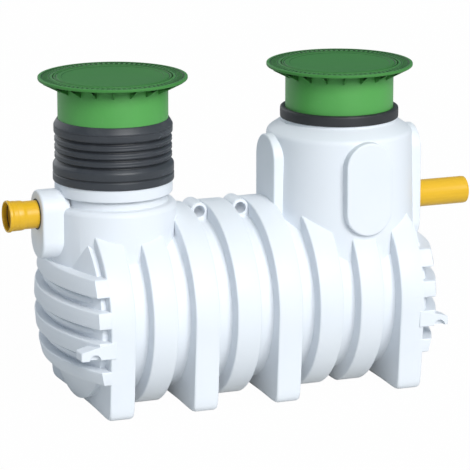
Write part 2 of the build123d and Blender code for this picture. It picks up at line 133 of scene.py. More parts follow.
# Sun lamps as (name, direction, strength, angle, colour)
LAMPS = (
    ("key", (0.12, -0.88, 0.55), 2.6, 30, (1.0, 0.995, 0.985)),
    ("top", (0.1, -0.2, 1.0), 0.3, 40, (0.97, 0.99, 1.0)),
    ("back", (-0.3, 0.8, 0.3), 0.9, 60, (1.0, 1.0, 1.0)),
)
SURROUNDINGS = (0.225, 0.275, 0.33, 1)
FLOOR_COLOUR, FLOOR_GLOW, FLOOR_SIZE, FLOOR_DROP = (0.68, 0.68, 0.66, 1), 0.985, 60.0, 0.001

# Steps round the tank, its hidden or small loops, the pipes and the shafts
AROUND, SMALL_AROUND, PIPE_AROUND, SHAFT_AROUND = 216, 96, 128, 320


# Meshes from arrays

def surface(name, rows, ring=False):
    """Mesh of a grid of closed loops: loop k is joined to loop k + 1 by quads.

    A ring also joins the last loop to the first; otherwise both end loops are filled."""
    count, around, _ = rows.shape
    index = np.arange(count * around).reshape(count, around)
    start = index if ring else index[:-1]
    end = np.roll(index, -1, axis=0) if ring else index[1:]
    quads = np.stack([start, np.roll(start, -1, 1), np.roll(end, -1, 1), end], -1).reshape(-1, 4)
    points = rows.reshape(-1, 3)
    a, b, c, d = (points[quads[:, k]] for k in range(4))
    middle = points.mean(0)
    sense = np.einsum("ij,ij->i", a - middle, np.cross(c - a, d - b)).sum()
    caps = [] if ring else [index[0, ::-1], index[-1]]
    if sense < 0:
        quads = quads[:, ::-1]
        caps = [cap[::-1] for cap in caps]
    mesh = bpy.data.meshes.new(name)
    mesh.from_pydata(points.tolist(), [], quads.tolist() + [cap.tolist() for cap in caps])
    mesh.shade_smooth()
    piece = bpy.data.objects.new(name, mesh)
    bpy.context.scene.collection.objects.link(piece)
    return piece


def soft_profile(corners, steps=5):
    """Open outline through (a, b, softness) corners, each rounded by a quadratic Bezier arc."""
    points = np.array([corner[:2] for corner in corners], float)
    out = [points[:1]]
    t = np.linspace(0, 1, steps)[:, None]
    for k in range(1, len(points) - 1):
        before, here, after = points[k - 1:k + 2]
        back, on = before - here, after - here
        back_length, on_length = np.linalg.norm(back), np.linalg.norm(on)
        reach = min(corners[k][2], 0.48 * back_length, 0.48 * on_length)
        start, end = here + back / back_length * reach, here + on / on_length * reach
        out.append((1 - t) ** 2 * start + 2 * t * (1 - t) * here + t ** 2 * end)
    out.append(points[-1:])
    return np.concatenate(out)


def turned(profile, x, axis="z", around=AROUND, height=0.0):
    """Loops of a profile of (radius, distance) points carried round an axis.

    Point = centre + radius * (cos, sin) across the axis + distance along it."""
    angle = np.linspace(0, 2 * np.pi, around, endpoint=False)
    radius, along = profile[:, :1], profile[:, 1:2] + 0 * angle
    u, v = radius * np.cos(angle), radius * np.sin(angle)
    if axis == "z":
        return np.stack([x + u, v, along], -1)
    return np.stack([along, u, height + v], -1)


def oval(centre, half_width, half_straight, depths, shrinks, axis):
    """Upright oval loops stacked along X or Y.

    Point = centre + radius * (cos, sin), plus half the straight side with the sine's sign."""
    angle = np.linspace(0, 2 * np.pi, SMALL_AROUND, endpoint=False)
    radius = half_width - np.asarray(shrinks)[:, None]
    across = radius * np.cos(angle)
    up = radius * np.sin(angle) + half_straight * np.sign(np.sin(angle) + 1e-9)
    along = np.asarray(depths)[:, None] + 0 * angle
    if axis == "x":
        return np.stack([centre[0] + along, centre[1] + across, centre[2] + up], -1)
    return np.stack([centre[0] + across, centre[1] + along, centre[2] + up], -1)


def edge_rounding(start, end, fillet, steps=6):
    """Depths from start to end, and how far the outline draws in along a rounded far edge.

    Depth = end - fillet * (1 - sin), draw-in = fillet * (1 - cos), as on a quarter circle."""
    t = np.linspace(0, np.pi / 2, steps)
    direction = 1 if end > start else -1
    depths = np.concatenate([[start], end - direction * fillet * (1 - np.sin(t)), [end]])
    return depths, np.concatenate([[0.0], fillet * (1 - np.cos(t)), [2 * fillet]])


def finished(source, name, modifiers):
    """New object with the modifiers applied; each is (type, settings)."""
    for kind, settings in modifiers:
        modifier = source.modifiers.new(kind, kind)
        for key, value in settings.items():
            setattr(modifier, key, value)
    bpy.context.view_layer.update()
    mesh = bpy.data.meshes.new_from_object(source.evaluated_get(bpy.context.evaluated_depsgraph_get()))
    piece = bpy.data.objects.new(name, mesh)
    bpy.context.scene.collection.objects.link(piece)
    old = source.data
    bpy.data.objects.remove(source)
    bpy.data.meshes.remove(old)
    return piece


def joined(name, pieces):
    """One object that holds the meshes of all the pieces."""
    for piece in bpy.context.selected_objects:
        piece.select_set(False)
    for piece in pieces:
        piece.select_set(True)
    bpy.context.view_layer.objects.active = pieces[0]
    bpy.ops.object.join()
    pieces[0].name = name
    return pieces[0]


# Forms of the tank

def rib_reach(angle, inset, footed):
    """Distance from the barrel's axis to a rib's outline at each angle, 0 pointing to the back.

    A circle and the ground line, and on a footed rib a leaning side line, joined by a power mean."""
    across, up = np.abs(np.cos(angle)), np.sin(angle)
    radius = RIB_RADIUS - inset
    reach = np.full_like(angle, radius)
    if footed:
        below = np.arctan2(up, across) < -FOOT_LEAN
        side = radius / (across * math.cos(FOOT_LEAN) - up * math.sin(FOOT_LEAN)).clip(0.05)
        reach = np.where(below, side, reach)
    ground = np.where(up < -0.05, (AXIS_HEIGHT - inset) / np.maximum(-up, 0.05), 9.0)
    power = FOOT_SHARPNESS if footed else FLAT_SHARPNESS
    return (reach ** -power + ground ** -power) ** (-1 / power)


def barrel_form(inset):
    """Barrel as loops along X: radius = root + share * rib height at that angle + extra.

    The crest's rounding grows towards the soles of the feet."""
    angle = np.linspace(0, 2 * np.pi, SMALL_AROUND if inset else AROUND, endpoint=False)
    root = ROOT_RADIUS - inset
    t = np.linspace(0, np.pi / 2, 2 if inset else 6)[:, None]
    reach = {footed: rib_reach(angle, inset, footed) for footed in (True, False)}
    sole = np.clip((-np.sin(angle) - 0.6) / 0.3, 0, 1)
    rows = []
    for number in range(1, RIB_COUNT + 1):
        footed = number in FOOTED_RIBS
        left = TANK_X - HALF_LENGTH + (number - 1) * RIB_PITCH + inset
        right = left + RIB_WIDTH - 2 * inset
        crest = CREST_FILLET + FOOT_ROUNDING * sole * footed
        x = [left - ROOT_FILLET + ROOT_FILLET * np.sin(t) + 0 * angle, left + crest * (1 - np.cos(t))]
        radius = [root + ROOT_FILLET * (1 - np.cos(t)) + 0 * angle,
                  reach[footed] - crest * (1 - np.sin(t))]
        if number == 1:
            x[0], radius[0] = x[0][-1:], radius[0][:1]
        x, radius = np.concatenate(x), np.concatenate(radius)
        rows += [np.stack([x, radius], -1), np.stack([left + right - x, radius], -1)[::-1]]
    x, radius = np.moveaxis(np.concatenate(rows), -1, 0)
    return surface("barrel_form", np.stack([x, radius * np.cos(angle),
                                            AXIS_HEIGHT + radius * np.sin(angle)], -1))


def dome_centre():
    """Place along X of the outlet dome's centre."""
    return TANK_X + HALF_LENGTH + DOME_RISE - DOME_RADIUS


def end_side(rows, side):
    """Rows as they are for the outlet end, or mirrored across the tank's middle for the inlet end."""
    if side < 0:
        rows = rows.copy()
        rows[..., 0] = 2 * TANK_X - rows[..., 0]
    return rows


def core_form(side, inset):
    """Core of an end: circles whose radius falls as a cosine while x follows the dome's sphere."""
    radius = RIB_RADIUS - GROOVE_DEPTH - inset
    sphere = DOME_RADIUS - GROOVE_DEPTH - inset
    rings = radius * np.cos(np.linspace(0, np.pi / 2 - 0.004, 12 if inset else 28))
    along = dome_centre() + np.sqrt(sphere ** 2 - rings ** 2)
    inside = TANK_X + HALF_LENGTH - RIB_WIDTH / 2
    profile = np.concatenate([[[radius, inside]], np.stack([rings, along], -1)])
    around = SMALL_AROUND if inset else AROUND
    rows = turned(profile, 0, axis="x", around=around, height=AXIS_HEIGHT)
    return surface("core_form", end_side(rows, side))


def band_form(side, bottom, top, inset, setback=0.0, fade=0.0):
    """Level band: at each height a loop that runs along the near side, round the dome and back.

    y goes from -Y to Y as a cosine, and x = centre + sqrt(sphere^2 - y^2 - (z - axis)^2)
    less fade * (y / half width)^6."""
    t = np.linspace(0, np.pi / 2, 5)
    z = np.concatenate([[bottom], bottom + BAND_FILLET * (1 - np.cos(t)),
                        top - BAND_FILLET * (1 - np.cos(t))[::-1], [top]])[:, None]
    draw_in = np.concatenate([[GROOVE_DEPTH + 0.02], BAND_FILLET * (1 - np.sin(t)),
                              BAND_FILLET * (1 - np.sin(t))[::-1], [GROOVE_DEPTH + 0.02]])[:, None]
    radius = RIB_RADIUS - inset - setback
    drop = AXIS_HEIGHT - z
    leaning = (radius - drop * math.sin(FOOT_LEAN)) / math.cos(FOOT_LEAN)
    circle = np.sqrt(radius ** 2 - drop ** 2)
    half_width = np.where(drop > radius * math.sin(FOOT_LEAN), leaning, circle) - draw_in
    sphere = DOME_RADIUS - inset - draw_in
    y = -half_width * np.cos(np.linspace(0, np.pi, 90))
    x = dome_centre() + np.sqrt(sphere ** 2 - y ** 2 - drop ** 2) - fade * (y / half_width) ** 6
    inside = TANK_X + HALF_LENGTH - RIB_WIDTH / 4
    run = np.linspace(0, 1, 8)[:-1]
    near_x = inside + (x[:, :1] - inside) * run
    x = np.concatenate([near_x, x, near_x[:, ::-1]], 1)
    y = np.concatenate([y[:, :1] + 0 * near_x, y, y[:, -1:] + 0 * near_x], 1)
    return surface("band_form", end_side(np.stack([x, y, z + 0 * x], -1), side))


def lug_form(side):
    """Lashing lug on the front: a tapered outline in X and Z stacked along Y, with a soft front edge.

    Point = middle + (outline - middle) * (1 - draw-in / distance from the middle)."""
    bottom, top = BANDS[1]
    middle = (bottom + top) / 2
    face = TANK_X + HALF_LENGTH
    root, tip = face - 0.03, face + LUG_REACH[side]
    outline = soft_profile([
        (root, middle, 0), (root, bottom, 0.001), (tip, bottom, 0.008), (tip, bottom + LUG_TIP, 0.010),
        (face, top, 0.010), (root, top, 0.001), (root, middle + 0.001, 0)], 4)
    y, draw_in = edge_rounding(-RIB_RADIUS + LUG_DEPTH, -RIB_RADIUS, 0.006, 4)
    away = outline - outline.mean(0)
    shrink = 1 - draw_in[:, None] / np.linalg.norm(away, axis=1)
    x, z = (outline.mean(0)[k] + away[:, k] * shrink for k in (0, 1))
    return surface("lug_form", end_side(np.stack([x, y[:, None] + 0 * x, z], -1), side))


def tower_form(name, corners, x, inset):
    """Tower turned about its upright axis, with rounded shoulders."""
    lowest = (corners[0][0] - inset, TOWER_START + 6 * inset, 0)
    rest = [(r - inset, z - (inset if k % 2 else 0), soft) for k, (r, z, soft) in enumerate(corners)]
    profile = soft_profile([lowest] + rest + [(0.002, rest[-1][1], 0)], 3 if inset else 6)
    return surface(name, turned(profile, x, around=SMALL_AROUND if inset else AROUND))


def boss_form(inset):
    """Upright oval boss that carries the inlet pipe."""
    half_width = BOSS_WIDTH / 2 - inset
    half_straight = (BOSS_TOP - BOSS_BOTTOM - BOSS_WIDTH) / 2
    centre = (INLET_X, 0, (BOSS_TOP + BOSS_BOTTOM) / 2)
    depths, shrinks = edge_rounding(-0.30, -BOSS_REACH + inset, BOSS_FILLET)
    return surface("boss_form", oval(centre, half_width, half_straight, depths, shrinks, "x"))


def pad_form(axis, sign, inset):
    """Flat oval pad on the outlet tower; those along the tank run down into the barrel."""
    bottom = PAD_BOTTOM if axis == "y" else TOWER_START + 0.08
    half_width = PAD_WIDTH / 2 - inset
    centre = (OUTLET_X, 0, (PAD_TOP + bottom) / 2)
    start = sign * (0.30 + (0.03 if axis == "y" else 0))
    depths, shrinks = edge_rounding(start, sign * (PAD_REACH - inset), PAD_FILLET)
    half_straight = (PAD_TOP - bottom - PAD_WIDTH) / 2
    return surface("pad_form", oval(centre, half_width, half_straight, depths, shrinks, axis))


def eye_place(groove):
    """Middle of a groove along X: rib start + (rib width + pitch) / 2."""
    return TANK_X - HALF_LENGTH + (groove - 1) * RIB_PITCH + (RIB_WIDTH + RIB_PITCH) / 2


def eye_form(groove):
    """Lifting eye: an oval block across the groove, rounded at both of its ends."""
    half_width = (RIB_PITCH - RIB_WIDTH) / 2
    ends, shrinks = edge_rounding(0, EYE_HALF_LENGTH, 0.015)
    depths = np.concatenate([-ends[:0:-1], ends])
    drawn = np.concatenate([shrinks[:0:-1], shrinks])
    half_straight = 0.06
    centre = (eye_place(groove), 0, EYE_HEIGHT - half_straight)
    return surface("eye_form", oval(centre, half_width, half_straight, depths, drawn, "y"))


def drill(radius, place, start, end, axis):
    """Plain round cutter along X or Y."""
    depths = np.array([start, end])
    centre = (0, place[1], place[2]) if axis == "x" else (place[0], 0, place[2])
    return surface("drill", oval(centre, radius, 0, depths, np.zeros(2), axis))


def tank_forms(inset):
    """All the overlapping solid forms of the moulding, drawn in by the inset."""
    forms = [barrel_form(inset)]
    for side in (-1, 1):
        forms.append(core_form(side, inset))
        forms += [band_form(side, bottom + inset, top - inset, inset) for bottom, top in BANDS]
        if not inset:
            forms += [band_form(side, low + LEDGE_ABOVE, high - LEDGE_BELOW, LEDGE_DEPTH, LEDGE_SETBACK,
                                LEDGE_FADE) for (_, low), (high, _) in zip(BANDS, BANDS[1:])]
    forms.append(tower_form("inlet_form", INLET_TOWER, INLET_X, inset))
    forms.append(tower_form("outlet_form", OUTLET_TOWER, OUTLET_X, inset))
    forms.append(boss_form(inset))
    forms += [pad_form(axis, sign, inset) for axis in ("x", "y") for sign in (-1, 1)]
    return forms


TANK_NODES = ("barrel_rib", "barrel_ring", "inlet_end", "outlet_end", "inlet_tower", "inlet_neck",
              "inlet_collar", "outlet_tower", "inlet_boss", "inlet_lug", "outlet_lug", "lifting_eye")


def make_tank():
    """Moulded tank: the forms fused, then hollowed and drilled."""
    first, *others = tank_forms(0) + [lug_form(side) for side in (-1, 1)] + [
        eye_form(groove) for groove in EYE_GROOVES]
    hollow = tank_forms(WALL)
    bore = COLLAR_RADIUS - WALL
    for x, low, high in WAYS:
        way = np.array([(bore, low), (bore, high + 0.02)])
        hollow.append(surface("way", turned(way, x, around=SMALL_AROUND)))
    inlet_face, outlet_face = INLET_X - BOSS_REACH - 0.02, OUTLET_X + PAD_REACH + 0.02
    drills = [
        drill(SEAL_HOLE, (0, 0, INLET_PIPE_HEIGHT), inlet_face, inlet_face + 0.06, "x"),
        drill(SEAL_HOLE, (0, 0, OUTLET_PIPE_HEIGHT), outlet_face - 0.06, outlet_face, "x"),
    ]
    drills += [drill(EYE_HOLE, (eye_place(groove), 0, EYE_HEIGHT), -0.12, 0.12, "y")
               for groove in EYE_GROOVES]
    drills += [drill(NOTCH_RADIUS, (TANK_X + side * (HALF_LENGTH + NOTCH_OFFSET), 0, BANDS[1][0]),
                     -0.54, -0.6, "y") for side in (-1, 1)]
    steps = [("UNION", form) for form in others] + [("DIFFERENCE", tool) for tool in hollow + drills]
    tank = finished(first, "tank_moulding", [
        ("BOOLEAN", {"operation": operation, "solver": "MANIFOLD", "object": tool})
        for operation, tool in steps])
    for _, tool in steps:
        bpy.data.objects.remove(tool)
    tank.data.shade_smooth()
    tank.data.set_sharp_from_angle(angle=math.radians(32))
    nodes = [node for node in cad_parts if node.startswith(TANK_NODES)]
    return dress(tank, "tank", "tank_polyethylene", *nodes)


# Pipes, seals and shafts

def ring_piece(name, outline, x, around=AROUND, axis="z", height=0.0):
    """Closed outline of (radius, distance, softness) corners turned into a ring with soft edges."""
    corners = np.array(outline, float)
    seam = [(corners[0] + corners[-1]) / 2]
    closed = np.concatenate([seam, corners, seam])
    profile = soft_profile([tuple(corner) for corner in closed], 4)[:-1]
    return surface(name, turned(profile, x, axis=axis, around=around, height=height), ring=True)


def dress(piece, body, slot, *nodes):
    """Piece rides on its body and stands for its solids; the slot is not used."""
    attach(piece, body)
    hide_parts(*nodes)
    return piece


def make_inlet_pipe():
    """Pipe with a beaded socket at its mouth, as a turned wall."""
    low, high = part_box("inlet_pipe")
    mouth, end = low.x, high.x
    bore, socket = PIPE_RADIUS - PIPE_WALL, PIPE_RADIUS + 0.0006
    outer = socket + PIPE_WALL
    outline = [
        (bore, end, 0.002), (bore, mouth + 0.098, 0.004), (socket, mouth + 0.090, 0.004),
        (socket, mouth + 0.034, 0.001), (outer - 0.0004, mouth + 0.034, 0.001),
        (outer - 0.0004, mouth + 0.028, 0.001), (socket, mouth + 0.028, 0.001), (socket, mouth, 0.002),
        (outer + 0.004, mouth, 0.003), (outer + 0.006, mouth + 0.005, 0.005),
        (outer + 0.006, mouth + 0.018, 0.005), (outer + 0.001, mouth + 0.024, 0.005),
        (outer + 0.001, mouth + 0.050, 0.004), (outer - 0.001, mouth + 0.053, 0.002),
        (outer, mouth + 0.056, 0.002), (outer, mouth + 0.086, 0.008),
        (PIPE_RADIUS, mouth + 0.100, 0.008), (PIPE_RADIUS, end, 0.002),
    ]
    piece = ring_piece("inlet_drain_pipe", outline, 0, PIPE_AROUND, "x", INLET_PIPE_HEIGHT)
    return dress(piece, "tank", "pipe_pvc", "inlet_pipe")


def make_outlet_pipe():
    """Plain pipe end with a small outside chamfer and a thicker root."""
    low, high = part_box("outlet_pipe")
    bore, step = PIPE_RADIUS - PIPE_WALL, OUTLET_X + PAD_REACH + 0.014
    outline = [
        (bore, low.x, 0.001), (PIPE_ROOT, low.x, 0.001), (PIPE_ROOT, step, 0.001),
        (PIPE_RADIUS, step, 0.001), (PIPE_RADIUS, high.x - 0.010, 0.002),
        (PIPE_RADIUS - 0.0022, high.x, 0.0015), (bore, high.x, 0.001),
    ]
    piece = ring_piece("outlet_drain_pipe", outline, 0, PIPE_AROUND, "x", OUTLET_PIPE_HEIGHT)
    return dress(piece, "tank", "pipe_pvc", "outlet_pipe")


def make_pipe_seal(name, outward, radius, height):
    """Rubber sleeve with a soft lip outside the moulding."""
    low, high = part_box(name)
    face, inner = (low.x, high.x) if outward < 0 else (high.x, low.x)
    bore, hole, lip = radius + 0.0003, SEAL_HOLE - 0.0003, face - outward * 0.0037
    outline = [
        (bore, inner, 0.0005), (hole, inner, 0.001), (hole, lip, 0.0005), (hole + 0.003, lip, 0.001),
        (hole + 0.002, face, 0.002), (bore + 0.001, face, 0.001), (bore, face - outward * 0.002, 0.001),
    ]
    piece = ring_piece(f"{name}_ring", outline, 0, SMALL_AROUND, "x", height)
    return dress(piece, "tank", "seal_rubber", name)


def make_socket_seal():
    """Ring in the socket's bead with two soft lips."""
    low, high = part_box("socket_seal")
    inner, outer, step = PIPE_RADIUS + 0.0006, PIPE_RADIUS + 0.005, (high.x - low.x) / 4
    outline = [(outer, low.x, 0.001), (outer, high.x, 0.001), (inner + 0.0005, high.x, 0.002),
               (inner, high.x - step, 0.004), (inner + 0.002, high.x - 2 * step, 0.003),
               (inner, low.x + step, 0.004), (inner + 0.0005, low.x, 0.002)]
    piece = ring_piece("socket_seal_ring", outline, 0, SMALL_AROUND, "x", INLET_PIPE_HEIGHT)
    return dress(piece, "tank", "seal_rubber", "socket_seal")


def make_riser():
    """Corrugated sleeve: a straight foot with a bead groove, then a wave.

    Radius = middle - swing * cos(phase) - sharpness * cos(2 * phase) outside, and without the last
    term inside."""
    low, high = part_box("riser_sleeve")
    z = np.linspace(WAVE_BOTTOM, WAVE_TOP, 72)
    phase = 2 * np.pi * (z - WAVE_START) / WAVE_PITCH
    wave = WAVE_MIDDLE - WAVE_SWING * np.cos(phase) - WAVE_SHARPNESS * np.cos(2 * phase)
    foot = soft_profile([
        (0.3440, low.z, 0), (0.3465, low.z + 0.004, 0.004), (0.3465, 1.331, 0.003),
        (0.3415, 1.335, 0.001), (0.3415, 1.341, 0.001), (0.3460, 1.345, 0.003),
        (0.3460, 1.386, 0.010), (wave[0], WAVE_BOTTOM, 0)])
    head = soft_profile([(wave[-1], WAVE_TOP, 0), (0.3390, 1.568, 0.008), (0.3395, high.z, 0.002),
                         (0.3330, high.z, 0)])
    outside = np.concatenate([foot[:-1], np.stack([wave, z], 1), head[1:]])
    inner_z = np.linspace(high.z, 1.345, 80)
    inner_wave = WAVE_INSIDE - WAVE_SWING * np.cos(2 * np.pi * (inner_z - WAVE_START) / WAVE_PITCH)
    inner_wave[(inner_z < WAVE_BOTTOM) | (inner_z > 1.568)] = 0.3335
    inside = np.concatenate([np.stack([inner_wave, inner_z], 1), [[0.3373, 1.340], [0.3373, low.z]]])
    rows = turned(np.concatenate([outside, inside]), INLET_X, around=SHAFT_AROUND)
    piece = surface("corrugated_riser", rows, ring=True)
    return dress(piece, "tank", "riser_polyethylene", "riser_sleeve")


def make_riser_seal():
    """Soft head seal that tapers in to the shaft."""
    low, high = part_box("riser_seal")
    outline = [(0.3153, low.z, 0.001), (0.3335, low.z, 0.001), (0.3335, low.z + 0.010, 0.001),
               (0.3400, low.z + 0.0105, 0.003), (0.3395, high.z - 0.034, 0.012),
               (0.3215, high.z - 0.004, 0.008), (0.3175, high.z, 0.002), (0.3153, high.z, 0.001)]
    piece = ring_piece("riser_head_seal", outline, INLET_X, SHAFT_AROUND)
    return dress(piece, "tank", "seal_rubber", "riser_seal")


def make_ring_seal():
    """Round-shouldered ring over the outlet tower's collar."""
    low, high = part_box("ring_seal")
    outline = [(0.3373, low.z, 0.001), (0.3450, low.z, 0.006), (0.3460, low.z + 0.030, 0.020),
               (0.3450, high.z - 0.004, 0.016), (0.3300, high.z, 0.008),
               (0.3180, high.z - 0.001, 0.003), (0.3153, high.z - 0.004, 0.002),
               (0.3153, low.z + 0.0103, 0.001), (0.3373, low.z + 0.0103, 0.001)]
    piece = ring_piece("collar_ring_seal", outline, OUTLET_X, SHAFT_AROUND)
    return dress(piece, "tank", "seal_rubber", "ring_seal")


def make_shaft(name, x):
    """Round shaft wall with softened ends."""
    low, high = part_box(f"{name}_shaft")
    inner = SHAFT_RADIUS - SHAFT_WALL
    outline = [(inner, low.z, 0.002), (SHAFT_RADIUS, low.z, 0.003), (SHAFT_RADIUS, high.z, 0.0005),
               (inner, high.z, 0.0005)]
    piece = ring_piece(f"{name}_round_shaft", outline, x, SHAFT_AROUND)
    return dress(piece, f"{name}_telescope", "shaft_polypropylene", f"{name}_shaft")


def slotted_land(profile, top, x):
    """Turned frame whose land is pressed down in radial slots.

    depth = slot depth * (ramp across the slot's length) * (ramp across its width)."""
    angle = np.linspace(0, 2 * np.pi, SLOT_COUNT * SLOT_STEPS, endpoint=False)
    radius, z = profile[:, :1], profile[:, 1:2]
    on_land = (z > top - 2 * LAND_DROP).astype(float)
    along = np.clip(np.minimum(radius - SLOT_INNER, SLOT_OUTER - radius) / LAND_STEP, 0, 1)
    across = np.clip((np.cos(SLOT_COUNT * angle) - 0.25) / 0.45, 0, 1)
    z = z - SLOT_DEPTH * on_land * along * across
    return np.stack([x + radius * np.cos(angle), radius * np.sin(angle), z + 0 * angle], -1)


def gusset(x, top, turn):
    """Thin tapered web under the frame: a triangle outline stacked across its thickness.

    Point = axis + radius * (cos, sin) + across * (-sin, cos) of the web's turn."""
    root, foot = SHAFT_RADIUS - 0.002, top - FRAME_ROOT - GUSSET_DEPTH
    outline = soft_profile([
        (root, top - FRAME_ROOT + 0.004, 0), (GUSSET_REACH, top - 0.022, 0.001),
        (GUSSET_REACH, top - 0.026, 0.003), (root + 0.003, foot, 0.002), (root, foot, 0)], 3)
    half = GUSSET_THICKNESS / 2
    across = np.array([-half, half])[:, None]
    radius, z = outline[:, 0], outline[:, 1]
    c, s = math.cos(turn), math.sin(turn)
    rows = np.stack([x + radius * c - across * s, radius * s + across * c, z + 0 * across], -1)
    return surface("gusset", rows)


def make_frame(name, x):
    """Top frame: turned rim, lip, slotted land and cover seat, with gussets below."""
    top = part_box(f"{name}_frame")[1].z
    inner, seat = SHAFT_RADIUS - SHAFT_WALL, top - COVER_THICKNESS - 0.0003
    land = top - LAND_DROP
    fine = [(radius, land, 0) for radius in np.arange(
        SLOT_OUTER + LAND_STEP, SLOT_INNER - 2 * LAND_STEP, -LAND_STEP)]
    profile = np.concatenate([
        soft_profile([
            (inner, seat, 0), (inner, top - FRAME_ROOT, 0.001),
            (SHAFT_RADIUS + 0.010, top - FRAME_ROOT, 0.010),
            (FRAME_RADIUS - 0.004, top - FRAME_EDGE, 0.004),
            (FRAME_RADIUS, top - FRAME_EDGE + 0.004, 0.004), (FRAME_RADIUS, top, 0.005),
            (LIP_RADIUS, top, 0.003), (LIP_RADIUS - 0.001, land, 0.002), (fine[0][0], land, 0)]),
        np.array(fine)[1:, :2],
        soft_profile([(fine[-1][0], land, 0), (SEAT_RADIUS + 0.006, land, 0.001),
                      (SEAT_RADIUS + 0.005, top - 0.0005, 0.001), (SEAT_RADIUS, top - 0.0005, 0.001),
                      (SEAT_RADIUS, seat, 0.002), (inner, seat, 0)])[1:-1]])
    rim = surface("rim", slotted_land(profile, top, x), ring=True)
    webs = [gusset(x, top, 2 * math.pi * k / GUSSET_COUNT) for k in range(GUSSET_COUNT)]
    piece = joined(f"{name}_slotted_frame", [rim] + webs)
    return dress(piece, f"{name}_telescope", "shaft_polypropylene", f"{name}_frame")


def make_cover(name, x):
    """Cover: turned disc with a ring groove round a slightly sunk field."""
    low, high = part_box(f"{name}_cover")
    top = high.z
    profile = soft_profile([
        (0.001, low.z, 0), (COVER_RADIUS - 0.002, low.z, 0.002), (COVER_RADIUS, low.z + 0.002, 0.002),
        (COVER_RADIUS, top - 0.001, 0.002), (0.328, top - 0.0005, 0.002), (0.326, top - 0.004, 0.002),
        (0.322, top - 0.004, 0.002), (0.319, top - 0.0012, 0.002), (0.292, top - 0.0015, 0.002),
        (0.290, top - 0.003, 0.002), (0.001, top - 0.003, 0)])
    piece = surface(f"{name}_round_cover", turned(profile, x, around=SHAFT_AROUND))
    return dress(piece, f"{name}_lid", "cover_polypropylene", f"{name}_cover")


# Shader expressions

class Channel:
    """A shader socket; arithmetic on it adds Math nodes to its tree."""

    def __init__(self, paint, socket):
        self.paint, self.socket = paint, socket

    def maths(self, operation, first, second=None):
        values = {0: first} if second is None else {0: first, 1: second}
        return self.paint.node("ShaderNodeMath", {"operation": operation}, values)

    def __add__(self, other):
        return self.maths("ADD", self, other)

    def __sub__(self, other):
        return self.maths("SUBTRACT", self, other)

    def __rsub__(self, other):
        return self.maths("SUBTRACT", other, self)

    def __mul__(self, other):
        return self.maths("MULTIPLY", self, other)

    def __truediv__(self, other):
        return self.maths("DIVIDE", self, other)

    def __pow__(self, other):
        return self.maths("POWER", self, other)

    __radd__, __rmul__ = __add__, __mul__

    def clamped(self):
        """The value held between 0 and 1."""
        return self.paint.node("ShaderNodeClamp", {}, {"Value": self})

    def size(self):
        """The value without its sign."""
        return self.maths("ABSOLUTE", self)


class Paint:
    """One material: its tree, its shader, and a method that adds any node."""

    def __init__(self, name, **constants):
        self.material = bpy.data.materials.new(name)
        self.material.use_nodes = True
        self.tree = self.material.node_tree
        self.shader = self.tree.nodes["Principled BSDF"]
        for key, value in constants.items():
            self.shader.inputs[key.replace("_", " ")].default_value = value
        self.place = self.node("ShaderNodeTexCoord", {}, {}, "Object")
        self.tree.nodes.active = self.shader

    def node(self, kind, settings, values, output=0):
        """Adds a node, sets it up, fills its inputs and gives one output back."""
        node = self.tree.nodes.new(kind)
        for key, value in settings.items():
            setattr(node, key, value)
        self.fill(node, values)
        return Channel(self, node.outputs[output])

    def fill(self, node, values):
        """Links or sets a node's inputs."""
        for key, value in values.items():
            if isinstance(value, Channel):
                self.tree.links.new(value.socket, node.inputs[key])
            else:
                node.inputs[key].default_value = value

    def noise(self, scale, detail=2.0, roughness=0.5, stretch=None):
        """Noise on object coordinates, stretched if asked."""
        place = self.place
        if stretch:
            place = self.node("ShaderNodeMapping", {}, {"Vector": place, "Scale": stretch})
        values = {"Vector": place, "Scale": scale, "Detail": detail, "Roughness": roughness}
        return self.node("ShaderNodeTexNoise", {}, values)

    def blend(self, factor, first, second):
        """Colour between two colours."""
        values = {"Factor": factor, "A": first, "B": second}
        return self.node("ShaderNodeMix", {"data_type": "RGBA"}, values, "Result")

    def finish(self, colour, roughness, height, strength, distance):
        """Sends colour, roughness and a bump height to the shader."""
        bump = self.node("ShaderNodeBump", {}, {
            "Height": height, "Strength": strength, "Distance": distance}, "Normal")
        self.fill(self.shader, {"Base Color": colour, "Roughness": roughness, "Normal": bump})
        return self.material

    def from_axis(self, x):
        """Place along and across an upright axis at x, height, and distance from that axis."""
        along, across, height = (self.node("ShaderNodeSeparateXYZ", {}, {"Vector": self.place}, k)
                                 for k in ("X", "Y", "Z"))
        along = along - x
        return along, across, height, (along * along + across * across) ** 0.5

    def facing_up(self):
        """How much the surface faces up, from 0 to 1."""
        geometry = self.node("ShaderNodeNewGeometry", {}, {}, "Normal")
        return self.node("ShaderNodeSeparateXYZ", {}, {"Vector": geometry}, "Z").clamped()


def shade(colour):
    """Opaque colour for a socket."""
    return (*colour, 1.0)


def tank_paint():
    """White moulded polyethylene: cool and even, with cloudy mottling, faint dust and a fine grain."""
    paint = Paint("moulded_polyethylene", IOR=1.5, Specular_IOR_Level=0.35)
    cloud = paint.noise(3.0, 3.0)
    grain = paint.noise(420.0, 2.0, 0.6)
    ripple = paint.noise(26.0, 2.0)
    scuff = ((paint.noise(9.0, 6.0, 0.7, (1, 1, 5)) - 0.62) * 5).clamped()
    base = paint.blend(cloud, shade((0.775, 0.815, 0.865)), shade((0.83, 0.86, 0.90)))
    dusty = paint.blend(paint.facing_up() * cloud * 0.22, base, shade((0.76, 0.76, 0.74)))
    colour = paint.blend(scuff * 0.25, dusty, shade((0.70, 0.73, 0.77)))
    roughness = 0.40 + cloud * 0.10 + scuff * 0.16
    return paint.finish(colour, roughness, grain * 0.35 + ripple * 0.65, 0.35, 0.0012)


